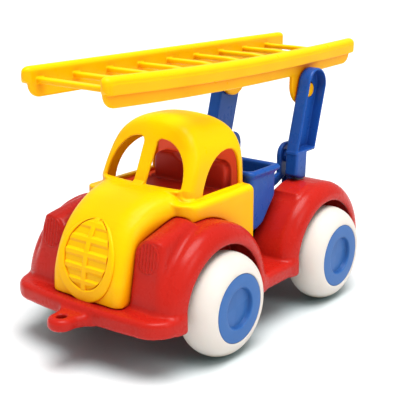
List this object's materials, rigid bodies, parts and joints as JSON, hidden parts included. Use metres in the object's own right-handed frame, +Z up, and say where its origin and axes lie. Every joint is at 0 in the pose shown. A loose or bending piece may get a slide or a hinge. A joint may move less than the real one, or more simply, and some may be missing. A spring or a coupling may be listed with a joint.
{
  "type": "toy fire engine",
  "caption": "Chunky moulded toy fire engine with open cab windows, a rear tub, folding arms that carry a tilting ladder, wide wheels and a towing eye.",
  "frame": {"origin": "on the ground, on the centre plane, under the middle of the vehicle's whole length (3.5 mm ahead of midway between the axles)", "axes": "-Y is the front of the vehicle, +X its left side, +Z is up"},
  "size_m": [0.1574, 0.3033, 0.1884],
  "materials": {
    "red_plastic": "satin moulded plastic",
    "yellow_plastic": "satin moulded plastic",
    "blue_plastic": "satin moulded plastic",
    "hub_plastic": "satin moulded plastic",
    "cream_tyre": "soft matte plastic",
    "steel": "plain wire steel"
  },
  "bodies": {
    "truck": {"chassis": "red_plastic", "cab": "yellow_plastic", "cab_interior": "red_plastic", "tub": "blue_plastic", "left_arm_pin": "steel", "right_arm_pin": "steel", "cab_screws": "steel", "tub_screws": "steel"},
    "front_wheelset": {"front_axle": "steel", "front_left_tyre": "cream_tyre", "front_right_tyre": "cream_tyre", "front_left_hub": "hub_plastic", "front_right_hub": "hub_plastic"},
    "rear_wheelset": {"rear_axle": "steel", "rear_left_tyre": "cream_tyre", "rear_right_tyre": "cream_tyre", "rear_left_hub": "hub_plastic", "rear_right_hub": "hub_plastic"},
    "left_arm": {"left_arm": "blue_plastic"},
    "right_arm": {"right_arm": "blue_plastic"},
    "ladder": {"ladder": "yellow_plastic"}
  },
  "joints": [
    {"name": "front_wheels_roll", "type": "hinge", "parent": "truck", "child": "front_wheelset", "pos_m": [0, -0.06025, 0.035], "axis": [1, 0, 0], "continuous": true},
    {"name": "rear_wheels_roll", "type": "hinge", "parent": "truck", "child": "rear_wheelset", "pos_m": [0, 0.06725, 0.035], "axis": [1, 0, 0], "continuous": true},
    {"name": "left_arm_fold", "type": "hinge", "parent": "truck", "child": "left_arm", "pos_m": [0, 0.068, 0.104], "axis": [-1, 0, 0], "range_deg": [0, 35]},
    {"name": "right_arm_fold", "type": "hinge", "parent": "truck", "child": "right_arm", "pos_m": [0, 0.068, 0.104], "axis": [-1, 0, 0], "range_deg": [0, 35]},
    {"name": "ladder_tilt", "type": "hinge", "parent": "left_arm", "child": "ladder", "pos_m": [0, 0.0855, 0.153], "axis": [-1, 0, 0], "range_deg": [-5, 60]}
  ],
  "couplings": [
    {"joint": "right_arm_fold", "follows": "left_arm_fold", "ratio": 1}
  ]
}
